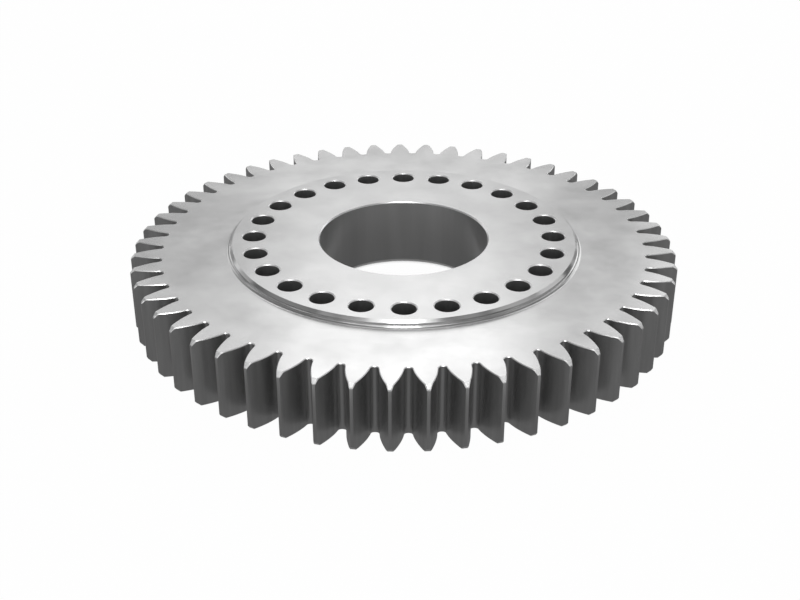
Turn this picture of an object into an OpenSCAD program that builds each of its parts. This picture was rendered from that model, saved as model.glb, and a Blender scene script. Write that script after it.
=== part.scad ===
// Spur gear that bolts to a driven shaft and turns an auxiliary drive.
// One solid: a turned and bored disc with a raised pad, a ring of bolt holes and straight involute teeth.
// The origin is on the gear's axis, at the flat underside that it rests on. +Z goes up the axis.

/* [Teeth] */
// Number of teeth
teeth_n = 53; // [51:1:60]
// Module: pitch diameter divided by the number of teeth
module_mm = 5; // [4.95:0.05:5.4]
// Pressure angle of the involute flanks, in degrees
pressure_angle = 20; // [19:0.5:20]
// Height of a tooth above the pitch circle
addendum = 7.5; // [6:0.1:7.5]
// Depth of a tooth space below the pitch circle
dedendum = 8.5; // [7.8:0.1:9.2]
// Thickness of a tooth along the pitch circle, less the running clearance
tooth_t = 7.8; // [7.3:0.05:7.95]
// Radius of the fillet at the root of each flank
root_fillet_r = 1.8; // [1:0.1:1.9]
// Bevel that deburring left along the flanks, roots and tips, at both faces
edge_break = 0.35; // [0.1:0.05:0.4]
// Angle from the bolt hole on +Y to the nearest tooth centre, in degrees
tooth_phase = 0.85; // [-3.3:0.05:3.3]

/* [Rim and web] */
// Width of the toothed rim and the web, face to face
face_w = 34.7; // [28:0.1:45]
// Chamfer at the tips of the teeth, at both faces
tip_chamfer = 2; // [0.5:0.1:3]

/* [Raised pad] */
// Height of the pad above the web
pad_h = 3.5; // [2.8:0.1:4.4]
// Diameter of the pad over its side wall
pad_d = 179.3; // [172:0.1:190]
// Chamfer round the pad's top edge
pad_chamfer = 1.3; // [0.5:0.1:2]
// Depth of the side wall's foot below the pad's top
wall_h = 2.5; // [1.6:0.1:3.2]
// Width of the narrow ledge that the turning tool left at the foot of the wall
ledge_w = 0.4; // [0.2:0.1:1]
// Fall of the ledge towards its outer edge
ledge_fall = 0.1; // [0:0.05:0.2]
// Radius of the fillet from the ledge down to the web
foot_fillet_r = 2; // [1:0.1:4]

/* [Centre bore] */
// Diameter of the bore
bore_d = 87; // [60:0.1:110]
// Chamfer at the bore's upper edge
bore_chamfer = 0.6; // [0.2:0.1:2]
// Height of the lead-in at the bore's lower edge
lead_in_h = 3.2; // [1:0.1:6]
// Width of the lead-in at the underside
lead_in_w = 1.6; // [0.5:0.1:4]

/* [Bolt holes] */
// Number of holes
hole_n = 24; // [12:1:30]
// Diameter of the circle through their centres
hole_pcd = 155; // [145:0.5:160]
// Diameter of each hole
hole_d = 12; // [8:0.1:15]
// Chamfer at both ends of each hole
hole_chamfer = 0.75; // [0.2:0.05:1.2]

/* [Hidden] */
steel = [0.56, 0.57, 0.58];

pitch_r = module_mm * teeth_n / 2;
base_r = pitch_r * cos(pressure_angle);
tip_r = pitch_r + addendum;
root_r = pitch_r - dedendum;
chamfer_r = tip_r - tip_chamfer;
total_h = face_w + pad_h;
tooth_angle = 360 / teeth_n;
rad = 180 / PI;

flank_steps = 4;
fillet_steps = 3;
round_fn = 144;
hole_fn = 32;

function polar(r, a) = [r * cos(a), r * sin(a)];
function turned(p, a) = [p.x * cos(a) - p.y * sin(a), p.x * sin(a) + p.y * cos(a)];
function other_side(p) = [p.x, -p.y];

// A flank is the path of a string's end as the string unwinds from the base circle.
// The free string stands square to the flank, so a bevel moves each point in along its own string.
function string_at(r) = sqrt(pow(r, 2) - pow(base_r, 2));
base_half_angle = (tooth_t / 2 / pitch_r + tan(pressure_angle)) * rad - pressure_angle;
function leaves_at(string) = base_half_angle - string / base_r * rad;
function string_end(string, reach) = polar(norm([base_r, reach]), leaves_at(string) + atan(reach / base_r));

// The root fillet touches the root circle and the flank, and its centre lies on the string between them.
fillet_centre_r = root_r + root_fillet_r;
flank_start = string_at(fillet_centre_r) - root_fillet_r;
fillet_centre = string_end(flank_start, flank_start + root_fillet_r);
fillet_from = leaves_at(flank_start) - 90;
fillet_to = atan2(fillet_centre.y, fillet_centre.x) - 180;

// One side of a tooth that is centred on angle 0, from the tip to the root, moved into the metal by depth
flank_end = string_at(chamfer_r) + edge_break;
function tooth_side(depth) = concat(
    [let (string = string_at(tip_r - depth) + depth) string_end(string, string - depth)],
    [for (i = [0 : flank_steps])
        let (string = flank_end + (flank_start - flank_end) * i / flank_steps)
        string_end(string, string - depth)],
    [for (i = [1 : fillet_steps])
        fillet_centre + polar(root_fillet_r + depth, fillet_from + (fillet_to - fillet_from) * i / fillet_steps)]
);
side_n = flank_steps + fillet_steps + 2;
tooth_points = 2 * side_n;
outline_n = teeth_n * tooth_points;

// All the teeth, up one side of each and down the other
function tooth_outline(depth) =
    let (side = tooth_side(depth))
    [for (k = [0 : teeth_n - 1])
        let (a = 90 + tooth_phase + k * tooth_angle)
        for (i = [0 : tooth_points - 1])
            turned(i < side_n ? other_side(side[side_n - 1 - i]) : side[i - side_n], a)];

// Distance from the nearer face to the tip chamfer's cone
function below_face(p) = max(0, norm(p) - chamfer_r);
function ring(depth, drop, upper) = [
    for (p = tooth_outline(depth))
        let (z = below_face(p) + drop)
        [p.x, p.y, upper ? face_w - z : z]
];

module toothed_disc() {
    corners = concat(
        ring(edge_break, 0, false),
        ring(0, edge_break, false),
        ring(0, edge_break, true),
        ring(edge_break, 0, true),
        [[0, 0, 0], [0, 0, face_w]]
    );
    top = 3 * outline_n;
    below = 4 * outline_n;
    above = below + 1;
    walls = [
        for (row = [0 : 2])
            for (i = [0 : outline_n - 1])
                let (a = row * outline_n + i, b = row * outline_n + (i + 1) % outline_n)
                [a, a + outline_n, b + outline_n, b]
    ];
    // The faces fan out from the axis and end in a straight edge at the foot of each tip chamfer.
    tip_at = side_n - 1;
    faces = [
        for (k = [0 : teeth_n - 1])
            for (i = [0 : tooth_points - 1])
                let (
                    a = k * tooth_points + i,
                    b = i == tip_at - 1 ? a + 3 : (a + 1) % outline_n
                )
                if (i < tip_at || i > tip_at + 1)
                    each [[below, a, b], [above, top + b, top + a]]
    ];
    chamfers = [
        for (k = [0 : teeth_n - 1])
            let (a = k * tooth_points + tip_at - 1)
            each [[a, a + 1, a + 2, a + 3], [top + a + 3, top + a + 2, top + a + 1, top + a]]
    ];
    polyhedron(corners, concat(walls, faces, chamfers));
}

// Section of the raised pad, which starts inside the web
pad_r = pad_d / 2;
bore_r = bore_d / 2;
pad_inner_r = bore_r - 1;
ledge_z = total_h - wall_h - ledge_fall;
foot_centre_z = face_w + foot_fillet_r;
foot_start_a = acos((foot_centre_z - ledge_z) / foot_fillet_r);
foot_centre_x = pad_r + ledge_w + foot_fillet_r * sin(foot_start_a);
foot_steps = 5;
foot_fillet = [
    for (i = [0 : foot_steps])
        let (a = foot_start_a * i / foot_steps)
        [foot_centre_x - foot_fillet_r * sin(a), foot_centre_z - foot_fillet_r * cos(a)]
];
pad_section = concat(
    [[pad_inner_r, face_w / 2], [foot_centre_x, face_w / 2]],
    foot_fillet,
    [
        [pad_r, total_h - wall_h],
        [pad_r, total_h - pad_chamfer],
        [pad_r - pad_chamfer, total_h],
        [pad_inner_r, total_h]
    ]
);

module raised_pad() {
    rotate_extrude($fn = round_fn) polygon(pad_section);
}

// Section of the bore, with its cutter's ends clear of both faces
past = 1;
bore_section = [
    [0, -past],
    [bore_r + lead_in_w + past * lead_in_w / lead_in_h, -past],
    [bore_r, lead_in_h],
    [bore_r, total_h - bore_chamfer],
    [bore_r + bore_chamfer + past, total_h + past],
    [0, total_h + past]
];

module bore() {
    rotate_extrude($fn = round_fn) polygon(bore_section);
}

// Section of one chamfered hole
hole_r = hole_d / 2;
hole_section = [
    [0, -past],
    [hole_r + hole_chamfer + past, -past],
    [hole_r, hole_chamfer],
    [hole_r, total_h - hole_chamfer],
    [hole_r + hole_chamfer + past, total_h + past],
    [0, total_h + past]
];

module bolt_holes() {
    for (k = [0 : hole_n - 1])
        rotate([0, 0, 90 + k * 360 / hole_n])
            translate([hole_pcd / 2, 0, 0])
                rotate_extrude($fn = hole_fn) polygon(hole_section);
}

module gear() {
    color(steel)
        difference() {
            union() {
                toothed_disc();
                raised_pad();
            }
            bore();
            bolt_holes();
        }
}

gear();
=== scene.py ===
"""Looks of a steel drive gear that lies flat on a white studio table."""

import math

import bpy
from mathutils import Matrix, Vector


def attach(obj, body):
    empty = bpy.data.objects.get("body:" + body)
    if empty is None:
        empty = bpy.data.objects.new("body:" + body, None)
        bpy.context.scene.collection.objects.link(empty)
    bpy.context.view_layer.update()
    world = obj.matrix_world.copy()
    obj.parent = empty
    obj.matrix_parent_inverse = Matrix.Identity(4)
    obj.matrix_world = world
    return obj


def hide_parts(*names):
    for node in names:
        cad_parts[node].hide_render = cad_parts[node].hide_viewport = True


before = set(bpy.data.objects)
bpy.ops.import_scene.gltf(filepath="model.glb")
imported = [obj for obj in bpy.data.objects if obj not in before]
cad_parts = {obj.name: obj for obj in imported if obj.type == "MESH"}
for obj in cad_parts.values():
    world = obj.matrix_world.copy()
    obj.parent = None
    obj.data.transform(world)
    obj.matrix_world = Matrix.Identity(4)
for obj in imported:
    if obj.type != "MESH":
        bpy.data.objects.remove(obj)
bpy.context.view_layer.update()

MM = 0.001

# Sizes of the gear, in millimetres, as in the part's source.
TEETH = 53
PITCH_R = 132.5
PRESSURE_ANGLE = math.radians(20)
TIP_R = 140.0
ROOT_R = 124.0
TOOTH_THICKNESS = 7.8
ROOT_FILLET_R = 1.8
TOOTH_PHASE = math.radians(0.85)
FACE_W = 34.7
TIP_CHAMFER = 2.0
TOTAL_H = 38.2
PAD_R = 89.65
PAD_CHAMFER = 1.3
WALL_FOOT_Z = 35.7
LEDGE_W = 0.4
LEDGE_Z = 35.6
FOOT_FILLET_R = 2.0
BORE_R = 43.5
BORE_CHAMFER = 0.6
LEAD_IN_H = 3.2
LEAD_IN_W = 1.6
HOLES = 24
HOLE_CIRCLE_R = 77.5
HOLE_R = 6.0
# The bevel that deburring left along the edges of the teeth.
EDGE_BREAK = 0.35
# The bolt holes' chamfers are narrower than the source's 0.75, to keep the light crescents on them thin.
HOLE_CHAMFER = 0.5
# The circle between the pad's hole ring and its edge, where the two kinds of wedge meet.
SEAM_R = 86.3
# The number of steps round the seam is a multiple of both counts, so the wedges share their corners there.
TOOTH_WEDGE_STEPS = HOLES
HOLE_WEDGE_STEPS = TEETH
# Steps along one side of a tooth: past the tip chamfer, down the flank, round the fillet and along the root.
TIP_STEPS, FLANK_STEPS, FILLET_STEPS, ROOT_STEPS = 2, 13, 7, 2
# Steps round the bore in one hole's wedge, and along each side of that wedge.
BORE_STEPS, SIDE_STEPS = 16, 12
# Edges where the surface turns by more than this stay sharp.
SHARP_ANGLE = math.radians(27)

# The finishes: turned web, faced pad, turned step at the pad's edge, hobbed teeth, bored and drilled walls,
# deburred edges, ground tips of the teeth and countersunk rims of the bolt holes. The tones of the edges,
# tips and rims are painted highlights, and the darker tone of the drilled walls is painted shade.
FINISHES = ("Web", "Pad", "Step", "Tooth", "Bore", "Hole", "Edge", "Tip", "Rim")
WEB, PAD, STEP, TOOTH, BORE, HOLE, EDGE, TIP, RIM = range(len(FINISHES))


class Wedge:
    """Corners and faces of one wedge of the gear, each face with the finish of its surface."""

    def __init__(self):
        self.corners = []
        self.faces = []
        self.finishes = []

    def row(self, points):
        """Adds a row of (x, y, z) corners in millimetres and gives their numbers."""
        first = len(self.corners)
        self.corners += [Vector(p) * MM for p in points]
        return list(range(first, first + len(points)))

    def face(self, corners, finish):
        self.faces.append(corners)
        self.finishes.append(finish)

    def strip(self, lower, upper, finish, closed=False):
        """Quads between two rows of the same length. Seen from outside, the rows run to the left."""
        count = len(lower) if closed else len(lower) - 1
        for i in range(count):
            j = (i + 1) % len(lower)
            self.face([lower[j], lower[i], upper[i], upper[j]], finish)

    def mesh(self, name):
        mesh = bpy.data.meshes.new(name)
        mesh.from_pydata(self.corners, [], self.faces)
        finish = mesh.attributes.new("finish", "INT", "FACE")
        finish.data.foreach_set("value", self.finishes)
        return mesh


def polar(r, angle, z=0.0):
    return Vector((r * math.cos(angle), r * math.sin(angle), z))


def involute(angle):
    return math.tan(angle) - angle


def tooth_outline():
    """One tooth and half a space on each side of it, centred on angle 0 and run through by growing angle."""
    base_r = PITCH_R * math.cos(PRESSURE_ANGLE)
    root_half = TOOTH_THICKNESS / 2 / PITCH_R + involute(PRESSURE_ANGLE)

    def flank(r):
        return polar(r, root_half - involute(math.acos(base_r / r)))

    centre_r = ROOT_R + ROOT_FILLET_R
    unwound = math.sqrt(centre_r**2 - base_r**2) - ROOT_FILLET_R
    flank_start = math.hypot(base_r, unwound)
    line_angle = root_half - unwound / base_r
    centre_angle = line_angle + math.atan((unwound + ROOT_FILLET_R) / base_r)
    centre = polar(centre_r, centre_angle)
    from_angle, to_angle = line_angle - math.pi / 2, centre_angle - math.pi

    # The corner of the tip chamfer, moved in by the edge break, lies on the chamfer's own circle.
    # Halving the search again and again finds its radius.
    chamfer_r = TIP_R - TIP_CHAMFER
    low, high = chamfer_r - 1, chamfer_r + 1
    halvings, nudge = 40, 0.01
    for _ in range(halvings):
        r = (low + high) / 2
        along = flank(r + nudge) - flank(r - nudge)
        inward = Vector((along.y, -along.x, 0)).normalized()
        if (flank(r) + inward * EDGE_BREAK).length < chamfer_r:
            low = r
        else:
            high = r
    radii = [r + (TIP_R - r) * i / TIP_STEPS for i in range(TIP_STEPS, -1, -1)]
    radii += [r + (flank_start - r) * i / FLANK_STEPS for i in range(1, FLANK_STEPS + 1)]
    side = [flank(r) for r in radii]
    for i in range(1, FILLET_STEPS + 1):
        side.append(centre + polar(ROOT_FILLET_R, from_angle + (to_angle - from_angle) * i / FILLET_STEPS))
    root_to = math.pi / TEETH
    for i in range(1, ROOT_STEPS + 1):
        side.append(polar(ROOT_R, centre_angle + (root_to - centre_angle) * i / ROOT_STEPS))
    other = [Vector((p.x, -p.y, 0)) for p in side]
    return other[::-1] + side


def inset(outline, depth):
    """The outline moved into the metal. Its ends lie on root circles, where inward is towards the axis."""
    moved = []
    last = len(outline) - 1
    for i, p in enumerate(outline):
        normals = []
        for a, b in ((i - 1, i), (i, i + 1)):
            if a >= 0 and b <= last:
                d = outline[b] - outline[a]
                normals.append(Vector((d.y, -d.x, 0)).normalized())
        if len(normals) == 1:
            moved.append(p - p.normalized() * depth)
        else:
            moved.append(p - (normals[0] + normals[1]) * depth / (1 + normals[0].dot(normals[1])))
    return moved


def top_of_tooth(r):
    return FACE_W - max(0.0, r - (TIP_R - TIP_CHAMFER))


def tooth_wedge():
    """A tooth with its share of the web and of the pad's edge."""
    w = Wedge()
    half = math.pi / TEETH
    angles = [-half + 2 * half * i / TOOTH_WEDGE_STEPS for i in range(TOOTH_WEDGE_STEPS + 1)]

    fillet_z = FACE_W + FOOT_FILLET_R
    start = math.acos((fillet_z - LEDGE_Z) / FOOT_FILLET_R)
    fillet_x = PAD_R + LEDGE_W + FOOT_FILLET_R * math.sin(start)
    section = [
        (SEAM_R, TOTAL_H),
        (PAD_R - PAD_CHAMFER, TOTAL_H),
        (PAD_R, TOTAL_H - PAD_CHAMFER),
        (PAD_R, WALL_FOOT_Z),
    ]
    for i in range(FILLET_STEPS + 1):
        a = start * (1 - i / FILLET_STEPS)
        section.append((fillet_x - FOOT_FILLET_R * math.sin(a), fillet_z - FOOT_FILLET_R * math.cos(a)))
    rows = [w.row([polar(r, a, z) for a in angles]) for r, z in section]
    # Outwards: the pad's face, its chamfer, wall and ledge, and the fillet, which has the web's finish.
    finishes = [PAD, STEP, STEP, STEP] + [WEB] * FILLET_STEPS
    for inner, outer, finish in zip(rows, rows[1:], finishes):
        w.strip(outer, inner, finish)
    seam_below = w.row([polar(SEAM_R, a, 0) for a in angles])

    outline = tooth_outline()
    inside = inset(outline, EDGE_BREAK)
    rings = [(inside, 0.0), (outline, EDGE_BREAK)]
    above = [w.row([(p.x, p.y, top_of_tooth(p.length) - drop) for p in ring]) for ring, drop in rings]
    below = [
        w.row([(p.x, p.y, FACE_W - top_of_tooth(p.length) + drop) for p in ring]) for ring, drop in rings
    ]
    w.strip(above[1], above[0], EDGE)
    w.strip(below[1], above[1], TOOTH)
    w.strip(below[0], below[1], EDGE)

    # The flat faces end on the chamfer's circle; the chamfer goes on from there to the tip.
    rounding = 1e-4
    flat = [i for i, p in enumerate(inside) if p.length <= TIP_R - TIP_CHAMFER + rounding]
    tip = [i for i in range(flat[0], flat[-1]) if i not in flat]
    first, last = tip[0] - 1, tip[-1] + 1
    w.face([above[0][i] for i in flat] + rows[-1][::-1], WEB)
    w.face([below[0][i] for i in reversed(flat)] + seam_below, WEB)
    left, right = first, last
    while right - left > 1:
        a, b, c, d = left, left + 1, right - 1, right
        w.face([above[0][i] for i in (a, b, c, d)], TIP)
        w.face([below[0][i] for i in (d, c, b, a)], TIP)
        left, right = b, c
    return w.mesh("tooth_wedge")


def hole_wedge():
    """A bolt hole with its share of the pad's two faces and of the bore."""
    w = Wedge()
    half = math.pi / HOLES
    centre = Vector((HOLE_CIRCLE_R, 0, 0))

    def border(inner_r, z):
        """Round the wedge's face: out one side, round the seam, back down the other side, round the bore."""
        width = SEAM_R - inner_r
        loop = [polar(inner_r + width * i / SIDE_STEPS, -half, z) for i in range(SIDE_STEPS)]
        loop += [polar(SEAM_R, -half + 2 * half * i / HOLE_WEDGE_STEPS, z) for i in range(HOLE_WEDGE_STEPS)]
        loop += [polar(SEAM_R - width * i / SIDE_STEPS, half, z) for i in range(SIDE_STEPS)]
        loop += [polar(inner_r, half - 2 * half * i / BORE_STEPS, z) for i in range(BORE_STEPS)]
        return loop

    top = border(BORE_R + BORE_CHAMFER, TOTAL_H)
    bottom = border(BORE_R + LEAD_IN_W, 0)
    bearings = [math.atan2(p.y, p.x - HOLE_CIRCLE_R) for p in top]

    def ring(r, z):
        return w.row([centre + polar(r, a, z) for a in bearings])

    over, under = w.row(top), w.row(bottom)
    wall = [
        ring(HOLE_R + HOLE_CHAMFER, TOTAL_H),
        ring(HOLE_R, TOTAL_H - HOLE_CHAMFER),
        ring(HOLE_R, HOLE_CHAMFER),
        ring(HOLE_R + HOLE_CHAMFER, 0),
    ]
    w.strip(over, wall[0], PAD, closed=True)
    for i, finish in enumerate((RIM, HOLE, RIM)):
        w.strip(wall[i], wall[i + 1], finish, closed=True)
    w.strip(wall[-1], under, PAD, closed=True)

    angles = [-half + 2 * half * i / BORE_STEPS for i in range(BORE_STEPS + 1)]
    section = [
        (BORE_R + BORE_CHAMFER, TOTAL_H),
        (BORE_R, TOTAL_H - BORE_CHAMFER),
        (BORE_R, LEAD_IN_H),
        (BORE_R + LEAD_IN_W, 0),
    ]
    rows = [w.row([polar(r, a, z) for a in angles]) for r, z in section]
    for i, finish in enumerate((EDGE, BORE, EDGE)):
        w.strip(rows[i], rows[i + 1], finish)
    return w.mesh("hole_wedge")


def add(tree, kind, **settings):
    """Adds a node. A setting is an attribute of the node, or else the value or source of an input.
    The input has that name, with spaces for underscores, or that number after one underscore."""
    node = tree.nodes.new(kind)
    for name, value in settings.items():
        if hasattr(node, name):
            setattr(node, name, value)
            continue
        numbered = name[0] == "_" and name[1:].isdigit()
        socket = node.inputs[int(name[1:]) if numbered else name.replace("_", " ")]
        if isinstance(value, bpy.types.NodeSocket):
            tree.links.new(value, socket)
        else:
            socket.default_value = value
    return node


def linear(hex_colour):
    """A written sRGB colour as the linear RGBA that shaders take."""
    channels = [int(hex_colour[i : i + 2], 16) / 255 for i in (1, 3, 5)]
    return [c / 12.92 if c <= 0.04045 else ((c + 0.055) / 1.055) ** 2.4 for c in channels] + [1.0]


def steel(name, tones, roughness, cloud_size, spread=None, spread_by=0.0, drawn=1.0):
    """Bare steel whose tone and polish drift between two values in soft clouds of this size in millimetres.
    Spread is the way in which the tool marks smear what the steel reflects: outward, around or axial.
    Drawn is how much longer the clouds are along the gear's axis, as streaks left by a tool."""
    material = bpy.data.materials.new(name)
    material.use_nodes = True
    tree = material.node_tree
    tree.nodes.clear()
    shader = add(tree, "ShaderNodeBsdfPrincipled", Metallic=1.0, Anisotropic=spread_by)
    add(tree, "ShaderNodeOutputMaterial", Surface=shader.outputs["BSDF"])
    where = add(tree, "ShaderNodeTexCoord").outputs["Object"]
    held = add(tree, "ShaderNodeVectorMath", operation="MULTIPLY", _0=where, _1=(1, 1, 1 / drawn))
    cloud = add(tree, "ShaderNodeTexNoise", Vector=held.outputs[0], Scale=1 / (cloud_size * MM), Detail=4.0)
    tone = add(tree, "ShaderNodeMix", data_type="RGBA", _6=linear(tones[0]), _7=linear(tones[1]))
    tree.links.new(cloud.outputs["Fac"], tone.inputs[0])
    tree.links.new(tone.outputs[2], shader.inputs["Base Color"])
    polish = add(tree, "ShaderNodeMapRange", Value=cloud.outputs["Fac"], From_Min=0.2, From_Max=0.8)
    polish.inputs["To Min"].default_value, polish.inputs["To Max"].default_value = roughness
    tree.links.new(polish.outputs["Result"], shader.inputs["Roughness"])
    if spread:
        if spread == "axial":
            way = add(tree, "ShaderNodeCombineXYZ", Z=1.0)
        else:
            way = add(tree, "ShaderNodeVectorMath", operation="MULTIPLY", _0=where, _1=(1, 1, 0))
        if spread == "around":
            outward = way.outputs[0]
            way = add(tree, "ShaderNodeVectorMath", operation="CROSS_PRODUCT", _0=outward, _1=(0, 0, 1))
        unit = add(tree, "ShaderNodeVectorMath", operation="NORMALIZE", _0=way.outputs[0])
        tree.links.new(unit.outputs[0], shader.inputs["Tangent"])
    return material


def gear_tree():
    """Repeats the two wedges round the axis and welds them into the whole gear."""
    tree = bpy.data.node_groups.new("gear_from_wedges", "GeometryNodeTree")
    face = tree.interface
    face.new_socket("Geometry", in_out="OUTPUT", socket_type="NodeSocketGeometry")
    inputs = [
        ("Geometry", "NodeSocketGeometry"),
        ("Tooth wedge", "NodeSocketObject"),
        ("Hole wedge", "NodeSocketObject"),
        ("Teeth", "NodeSocketInt"),
        ("Holes", "NodeSocketInt"),
        ("Tooth phase", "NodeSocketFloat"),
        ("Weld distance", "NodeSocketFloat"),
    ]
    inputs += [(f"{finish} steel", "NodeSocketMaterial") for finish in FINISHES]
    for name, kind in inputs:
        face.new_socket(name, in_out="INPUT", socket_type=kind)
    given = add(tree, "NodeGroupInput").outputs
    rings = []
    for wedge, count, phase in (("Tooth wedge", "Teeth", True), ("Hole wedge", "Holes", False)):
        source = add(tree, "GeometryNodeObjectInfo", Object=given[wedge])
        points = add(tree, "GeometryNodePoints", Count=given[count])
        index = add(tree, "GeometryNodeInputIndex")
        share = add(tree, "ShaderNodeMath", operation="DIVIDE", _0=index.outputs[0], _1=given[count])
        turn = add(
            tree,
            "ShaderNodeMath",
            operation="MULTIPLY_ADD",
            _0=share.outputs[0],
            _1=math.tau,
            _2=math.pi / 2,
        )
        angle = turn.outputs[0]
        if phase:
            angle = add(tree, "ShaderNodeMath", operation="ADD", _0=angle, _1=given["Tooth phase"]).outputs[0]
        spin = add(tree, "ShaderNodeCombineXYZ", Z=angle)
        ring = add(
            tree,
            "GeometryNodeInstanceOnPoints",
            Points=points.outputs[0],
            Instance=source.outputs["Geometry"],
            Rotation=spin.outputs[0],
        )
        rings.append(ring.outputs[0])
    both = add(tree, "GeometryNodeJoinGeometry")
    for ring in rings:
        tree.links.new(ring, both.inputs[0])
    whole = add(tree, "GeometryNodeRealizeInstances", Geometry=both.outputs[0])
    welded = add(
        tree, "GeometryNodeMergeByDistance", Geometry=whole.outputs[0], Distance=given["Weld distance"]
    )
    shape = welded.outputs[0]
    number = add(tree, "GeometryNodeInputNamedAttribute", data_type="INT", Name="finish")
    for i, finish in enumerate(FINISHES):
        chosen = add(
            tree, "FunctionNodeCompare", data_type="INT", operation="EQUAL", _2=number.outputs[0], _3=i
        )
        dressed = add(
            tree,
            "GeometryNodeSetMaterial",
            Geometry=shape,
            Selection=chosen.outputs[0],
            Material=given[f"{finish} steel"],
        )
        shape = dressed.outputs[0]
    add(tree, "NodeGroupOutput", Geometry=shape)
    return tree


def plain_piece(name, tree, values):
    """Runs a node tree with these inputs and returns its result as a plain mesh object."""
    holder = bpy.data.objects.new(name, bpy.data.meshes.new(name))
    bpy.context.scene.collection.objects.link(holder)
    modifier = holder.modifiers.new("shape", "NODES")
    modifier.node_group = tree
    for item in tree.interface.items_tree:
        if item.in_out == "INPUT" and item.name in values:
            modifier[item.identifier] = values[item.name]
    depsgraph = bpy.context.evaluated_depsgraph_get()
    mesh = bpy.data.meshes.new_from_object(holder.evaluated_get(depsgraph), depsgraph=depsgraph)
    holder.modifiers.remove(modifier)
    holder.data = mesh
    mesh.name = name
    return holder


def steels():
    """The steel of each finish: its name, tones, roughness, size of clouds and marks of the tool."""
    return {
        "Web": steel("turned_steel", ("#ABABAB", "#DADADA"), (0.19, 0.22), 20, "outward", 0.8),
        "Pad": steel("faced_steel", ("#AEAEAE", "#D2D2D2"), (0.24, 0.27), 22, "outward", 0.3),
        "Step": steel("cut_step_steel", ("#C8C8C8", "#D6D6D6"), (0.13, 0.17), 12),
        "Tooth": steel("hobbed_steel", ("#ADADAD", "#D6D6D6"), (0.28, 0.33), 3, drawn=12),
        "Bore": steel("bored_steel", ("#A0A0A0", "#C9C9C9"), (0.38, 0.42), 12, "axial", 0.6, drawn=14),
        # The drilled walls' tone, darker than the other steel, is painted shade inside the bolt holes.
        "Hole": steel("drilled_steel", ("#868686", "#929292"), (0.55, 0.65), 5),
        # The deburred steel's near-white tone is a painted glint on the tooth edge bevels, the bore's chamfer
        # and its lead-in.
        "Edge": steel("deburred_steel", ("#EEEEEE", "#F8F8F8"), (0.28, 0.31), 12),
        # The ground tips' near-white tone is a painted highlight on the tip chamfers.
        "Tip": steel("ground_steel", ("#F0F0F0", "#FAFAFA"), (0.32, 0.36), 12, "around", 1.0),
        # The countersunk rims' near-white tone is a painted highlight, the light crescents on the bolt holes'
        # chamfers.
        "Rim": steel("countersunk_steel", ("#F2F2F2", "#FAFAFA"), (0.4, 0.44), 12),
    }


def make_gear():
    wedges = {}
    for name, mesh in (("Tooth wedge", tooth_wedge()), ("Hole wedge", hole_wedge())):
        wedges[name] = bpy.data.objects.new(mesh.name, mesh)
    values = {
        "Teeth": TEETH,
        "Holes": HOLES,
        "Tooth phase": TOOTH_PHASE,
        "Weld distance": 0.002 * MM,
    }
    finishes = {f"{finish} steel": material for finish, material in steels().items()}
    gear = plain_piece("steel_gear", gear_tree(), {**wedges, **values, **finishes})
    for wedge in wedges.values():
        bpy.data.objects.remove(wedge)
    gear.data.shade_smooth()
    gear.data.set_sharp_from_angle(angle=SHARP_ANGLE)
    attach(gear, "root")
    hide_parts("gear")


make_gear()

# The camera looks from the photo's place, which is given about the centre of the pad's face.
DISTANCE = 8.41349 * HOLE_CIRCLE_R
ELEVATION = math.radians(25.580)
PAN, TILT, ROLL = math.radians(-0.1627), math.radians(-2.9144), math.radians(0.0753)
# The photo's view of the gear is turned about its axis by this much.
VIEW_TURN = math.radians(-0.187)
FOCAL_LENGTH_PX, PHOTO_WIDTH_PX, SENSOR_WIDTH = 1255.77, 800, 36.0


def turned(a, b, angle):
    return a * math.cos(angle) + b * math.sin(angle), b * math.cos(angle) - a * math.sin(angle)


def place_camera():
    spot = Vector((0, -math.cos(ELEVATION), math.sin(ELEVATION))) * DISTANCE
    ahead = Vector((0, math.cos(ELEVATION), -math.sin(ELEVATION)))
    right = Vector((1, 0, 0))
    up = right.cross(ahead)
    ahead, right = turned(ahead, right, PAN)
    ahead, up = turned(ahead, up, TILT)
    right, up = turned(right, up, ROLL)
    spin = Matrix.Rotation(VIEW_TURN, 3, "Z")
    spot, ahead, right, up = (spin @ v for v in (spot, ahead, right, up))
    data = bpy.data.cameras.new("camera")
    data.sensor_width = SENSOR_WIDTH
    data.lens = FOCAL_LENGTH_PX / PHOTO_WIDTH_PX * SENSOR_WIDTH
    data.clip_start, data.clip_end = 0.01, 100.0
    camera = bpy.data.objects.new("camera", data)
    bpy.context.scene.collection.objects.link(camera)
    axes = Matrix((right, up, -ahead)).transposed()
    camera.matrix_world = Matrix.Translation((spot + Vector((0, 0, TOTAL_H))) * MM) @ axes.to_4x4()
    bpy.context.scene.camera = camera


place_camera()

# Half the table's width and the heights of the table and of the sheet of painted shade, in metres like all of
# the studio.
TABLE_REACH = 40.0
TABLE_Z, SHADE_SHEET_Z = -0.0004, -0.0002
# Share of the table that shows as pure white. The rest is paint, which keeps the gear's shadow.
WHITE_SHARE = 0.98
# The painted shade sheet's radius, and the narrow gap in it under the foot of the bore. There the steel shows
# the white table as a painted highlight ring on the lead-in.
SHADE_SHEET_R, SHADE_SHEET_GAP_FROM, SHADE_SHEET_GAP_TO = 1.2, 0.0438, 0.0452
SHADE_SHEET_STEPS = 96
# Brightness of the painted shade sheet. It grows from this radius to the sheet's edge, so the shade that the
# steel reflects is darkest near the gear.
SHADE_SHEET_TONE_FROM, SHADE_SHEET_TONE, SHADE_SHEET_EDGE_TONE = 0.2, 0.18, 0.45
# Brightness of the studio's walls and ceiling by the sine of the elevation.
SKY = [
    (0, 0.31),
    (0.12, 0.31),
    (0.18, 0.14),
    (0.46, 0.13),
    (0.54, 0.29),
    (0.68, 0.29),
    (0.74, 0.21),
    (1, 0.22),
]
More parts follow.
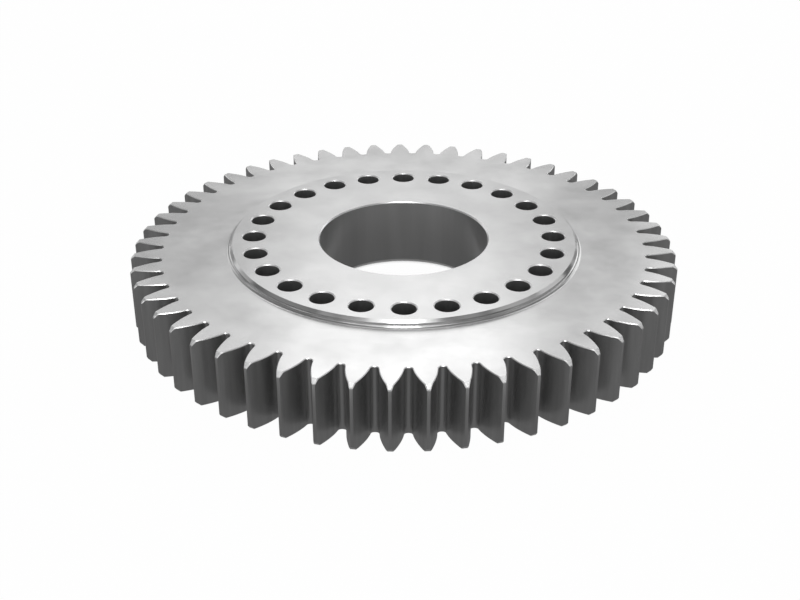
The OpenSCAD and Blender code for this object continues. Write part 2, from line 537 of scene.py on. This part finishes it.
# Soft lamps: name, bearing and elevation in degrees, distance and size in metres, radiance.
SOFTBOXES = [
    ("back_upright", 90, 45, 1.6, (0.45, 1.3), 0.7),
    ("back_lower", 89, 35, 1.6, (1.3, 0.26), 0.85),
    ("back_middle", 89, 44, 1.6, (1.3, 0.26), 1.43),
    ("back_upper", 89, 54, 1.6, (1.3, 0.3), 0.75),
    ("back_wide", 92, 22, 1.6, (3.8, 0.5), 0.48),
    ("top_softbox", 90, 75, 1.6, (1.2, 0.45), 0.37),
    ("left_back", 135, 22, 1.6, (1.2, 0.6), 0.35),
    ("right_back", 54, 24, 1.6, (0.9, 0.5), 0.9),
    ("right_low", 5, 21, 1.5, (1.3, 0.6), 0.6),
    ("right_high", 355, 45, 1.5, (0.6, 0.5), 0.26),
    ("front_lamp", 270, 63, 1.4, (0.3, 0.36), 7.0),
    ("front_middle", 270, 62, 1.45, (0.8, 0.5), 0.56),
    ("front_wide", 266, 48, 1.5, (1.5, 0.6), 0.87),
    ("front_low", 270, 22, 1.5, (1.6, 0.5), 0.5),
    ("left_low", 184, 17, 1.7, (1.6, 0.4), 0.7),
    ("front_left_low", 225, 14, 1.7, (1.7, 0.4), 0.9),
    ("front_right_low", 315, 14, 1.7, (1.7, 0.4), 0.9),
    ("front_left", 222, 40, 1.5, (0.6, 0.6), 0.31),
    ("front_right", 312, 42, 1.5, (0.6, 0.6), 0.2),
]


def floor_piece(name, corners, faces, material, height):
    mesh = bpy.data.meshes.new(name)
    mesh.from_pydata([(x, y, height) for x, y in corners], [], faces)
    mesh.materials.append(material)
    piece = bpy.data.objects.new(name, mesh)
    bpy.context.scene.collection.objects.link(piece)
    return piece


def make_table():
    """A white table, with a glowing sheet of painted shade under and round the gear that shows only in the
    steel's reflections.
    """
    material = bpy.data.materials.new("white_table")
    material.use_nodes = True
    tree = material.node_tree
    tree.nodes.clear()
    paint = add(tree, "ShaderNodeBsdfDiffuse", Color=linear("#F4F4F4"))
    glow = add(tree, "ShaderNodeEmission", Color=(1, 1, 1, 1), Strength=1.0)
    rays = add(tree, "ShaderNodeLightPath")
    camera_ray, glossy_ray, glass_ray = (
        rays.outputs[name] for name in ("Is Camera Ray", "Is Glossy Ray", "Is Transmission Ray")
    )
    sharp = add(tree, "ShaderNodeMath", operation="MAXIMUM", _0=camera_ray, _1=glossy_ray)
    seen = add(tree, "ShaderNodeMath", operation="MAXIMUM", _0=sharp.outputs[0], _1=glass_ray)
    share = add(tree, "ShaderNodeMath", operation="MULTIPLY", _0=seen.outputs[0], _1=WHITE_SHARE)
    mixed = add(tree, "ShaderNodeMixShader", _0=share.outputs[0], _1=paint.outputs[0], _2=glow.outputs[0])
    add(tree, "ShaderNodeOutputMaterial", Surface=mixed.outputs[0])
    corners = [(x * TABLE_REACH, y * TABLE_REACH) for x, y in ((-1, -1), (1, -1), (1, 1), (-1, 1))]
    floor_piece("table_top", corners, [(0, 1, 2, 3)], material, TABLE_Z)

    # Painted shade for the steel's reflections: a dark glowing sheet, darkest near the gear, that the camera,
    # diffuse light and shadows don't see.
    dark = bpy.data.materials.new("dark_mat")
    dark.use_nodes = True
    tree = dark.node_tree
    tree.nodes.clear()
    where = add(tree, "ShaderNodeTexCoord")
    out = add(tree, "ShaderNodeVectorMath", operation="LENGTH", _0=where.outputs["Object"])
    tone = add(
        tree,
        "ShaderNodeMapRange",
        Value=out.outputs["Value"],
        From_Min=SHADE_SHEET_TONE_FROM,
        From_Max=SHADE_SHEET_R,
        To_Min=SHADE_SHEET_TONE,
        To_Max=SHADE_SHEET_EDGE_TONE,
    )
    painted_shade_glow = add(tree, "ShaderNodeEmission", Color=(1, 1, 1, 1), Strength=tone.outputs["Result"])
    add(tree, "ShaderNodeOutputMaterial", Surface=painted_shade_glow.outputs[0])
    bearings = [math.tau * i / SHADE_SHEET_STEPS for i in range(SHADE_SHEET_STEPS)]
    rings = (SHADE_SHEET_GAP_FROM, SHADE_SHEET_GAP_TO, SHADE_SHEET_R)
    corners = [(r * math.cos(a), r * math.sin(a)) for r in rings for a in bearings]
    faces = [tuple(range(SHADE_SHEET_STEPS))]
    for i in range(SHADE_SHEET_STEPS):
        a, b = SHADE_SHEET_STEPS + i, SHADE_SHEET_STEPS + (i + 1) % SHADE_SHEET_STEPS
        faces.append((a, a + SHADE_SHEET_STEPS, b + SHADE_SHEET_STEPS, b))
    shade_sheet = floor_piece("dark_mat", corners, faces, dark, SHADE_SHEET_Z)
    shade_sheet.visible_camera = shade_sheet.visible_diffuse = shade_sheet.visible_transmission = shade_sheet.visible_shadow = False


def softbox(name, bearing, elevation, distance, size, radiance):
    """A lamp that faces the gear from this bearing and height. Its face is as bright as the radiance says."""
    data = bpy.data.lights.new(name, "AREA")
    data.shape = "RECTANGLE"
    data.size, data.size_y = size
    data.energy = radiance * math.pi * size[0] * size[1]
    lamp = bpy.data.objects.new(name, data)
    bearing, elevation = math.radians(bearing), math.radians(elevation)
    side = math.cos(elevation) * distance
    lamp.location = (side * math.cos(bearing), side * math.sin(bearing), math.sin(elevation) * distance)
    lamp.rotation_euler = (-lamp.location).to_track_quat("-Z", "Y").to_euler()
    bpy.context.scene.collection.objects.link(lamp)


def light_studio():
    world = bpy.data.worlds.new("studio")
    bpy.context.scene.world = world
    world.use_nodes = True
    tree = world.node_tree
    tree.nodes.clear()
    where = add(tree, "ShaderNodeTexCoord")
    height = add(tree, "ShaderNodeSeparateXYZ", _0=where.outputs["Generated"])
    ramp = add(tree, "ShaderNodeValToRGB", _0=height.outputs["Z"])
    points = ramp.color_ramp.elements
    for spot, tone in SKY:
        point = points[0] if spot == 0 else points[-1] if spot == 1 else points.new(spot)
        point.color = (tone, tone, tone, 1)
    sky = add(tree, "ShaderNodeBackground", Color=ramp.outputs[0], Strength=1.0)
    add(tree, "ShaderNodeOutputWorld", Surface=sky.outputs[0])
    for settings in SOFTBOXES:
        softbox(*settings)


make_table()
light_studio()
bpy.context.scene.view_settings.view_transform = "Standard"
